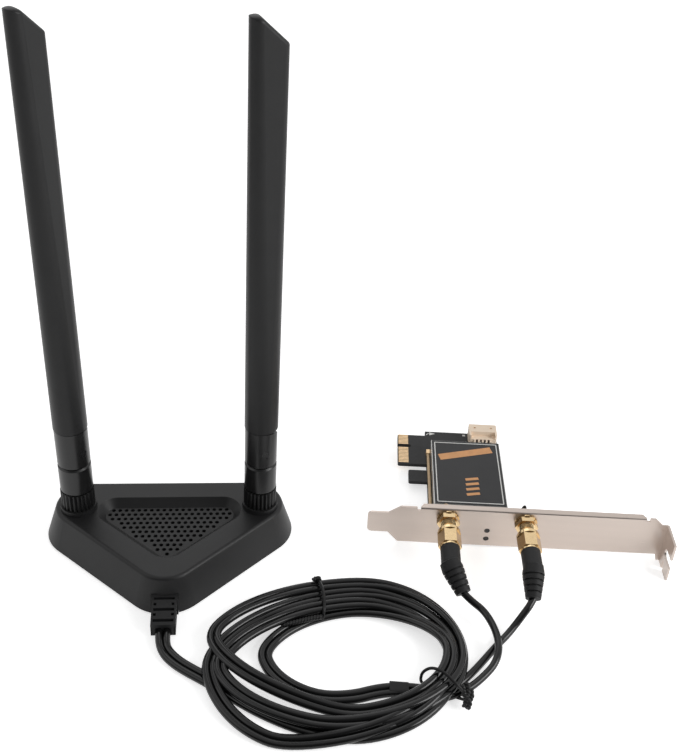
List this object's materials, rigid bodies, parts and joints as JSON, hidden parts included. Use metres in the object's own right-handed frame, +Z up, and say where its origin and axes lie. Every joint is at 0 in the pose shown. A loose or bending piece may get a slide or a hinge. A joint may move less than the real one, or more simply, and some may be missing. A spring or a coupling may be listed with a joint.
{
  "type": "wireless network card with antenna base",
  "caption": "Plug-in wireless network card with slot bracket, joined by coiled coaxial leads to a triangular desk base that carries folding paddle antennas.",
  "frame": {"origin": "on the table, under the middle of the box round the base, antennas and card, leads left out", "axes": "+X to the right along the card's bracket, +Y away from the front of the base, +Z up"},
  "size_m": [0.2473, 0.1713, 0.2052],
  "materials": {
    "black_plastic": "fine moulded texture, satin",
    "blade_black": "satin",
    "black_pin": "satin",
    "grille_black": "satin black coat",
    "black_rubber": "matte",
    "zinc_steel": "zinc plated",
    "bracket_nickel": "nickel plated",
    "board_black": "solder mask",
    "gold_plate": "gold plated",
    "tin_pins": "tin plated",
    "socket_black": "moulded",
    "shield_tin": "tinned",
    "pad_grey": "soft",
    "cover_aluminium": "brushed",
    "film_grey": "printed film",
    "header_cream": "moulded",
    "lamp_clear": "clear",
    "pigtail_amber": "translucent jacket",
    "lead_jacket": "satin jacket",
    "tie_black": "satin"
  },
  "bodies": {
    "base_and_card": {"back_tie": "tie_black", "base_plate": "zinc_steel", "base_screws": "zinc_steel", "base_shell": "black_plastic", "board_screws": "zinc_steel", "bracket": "bracket_nickel", "cable_coil": "lead_jacket", "carrier_board": "board_black", "cover_film": "film_grey", "edge_contacts": "gold_plate", "front_tie": "tie_black", "grille_plate": "grille_black", "header_housing": "header_cream", "header_pins": "tin_pins", "heat_cover": "cover_aluminium", "lamps": "lamp_clear", "left_base_jack": "gold_plate", "left_base_lead": "lead_jacket", "left_boot": "black_rubber", "left_collar": "black_plastic", "left_inner_lead": "lead_jacket", "left_jack": "gold_plate", "left_jack_nut": "gold_plate", "left_lock_washer": "gold_plate", "left_pigtail": "pigtail_amber", "left_plug_core": "gold_plate", "left_plug_lead": "lead_jacket", "left_plug_nut": "gold_plate", "left_sleeve": "black_plastic", "left_terminal": "gold_plate", "module_board": "board_black", "module_post": "zinc_steel", "module_screw": "zinc_steel", "module_socket": "socket_black", "right_base_jack": "gold_plate", "right_base_lead": "lead_jacket", "right_boot": "black_rubber", "right_collar": "black_plastic", "right_inner_lead": "lead_jacket", "right_jack": "gold_plate", "right_jack_nut": "gold_plate", "right_lock_washer": "gold_plate", "right_pigtail": "lead_jacket", "right_plug_core": "gold_plate", "right_plug_lead": "lead_jacket", "right_plug_nut": "gold_plate", "right_sleeve": "black_plastic", "right_terminal": "gold_plate", "rubber_pad": "black_rubber", "shield_can": "shield_tin", "split_sleeve": "black_rubber", "strain_relief": "black_rubber", "thermal_pad": "pad_grey"},
    "left_knuckle": {"left_fork": "black_plastic", "left_hinge_pin": "black_pin"},
    "left_antenna": {"left_blade": "blade_black"},
    "right_knuckle": {"right_fork": "black_plastic", "right_hinge_pin": "black_pin"},
    "right_antenna": {"right_blade": "blade_black"}
  },
  "joints": [
    {"name": "left_swivel", "type": "hinge", "parent": "base_and_card", "child": "left_knuckle", "pos_m": [-0.11024, -0.01258, 0.0368], "axis": [0, 0, 1], "range_deg": [-127, 53]},
    {"name": "left_tilt", "type": "hinge", "parent": "left_knuckle", "child": "left_antenna", "pos_m": [-0.11024, -0.01258, 0.044], "axis": [-0.81, 0.5864, 0], "range_deg": [0, 90]},
    {"name": "right_swivel", "type": "hinge", "parent": "base_and_card", "child": "right_knuckle", "pos_m": [-0.04018, -0.00385, 0.0368], "axis": [0, 0, 1], "range_deg": [-95, 85]},
    {"name": "right_tilt", "type": "hinge", "parent": "right_knuckle", "child": "right_antenna", "pos_m": [-0.04018, -0.00385, 0.044], "axis": [-0.3762, 0.9265, 0], "range_deg": [0, 90]}
  ]
}
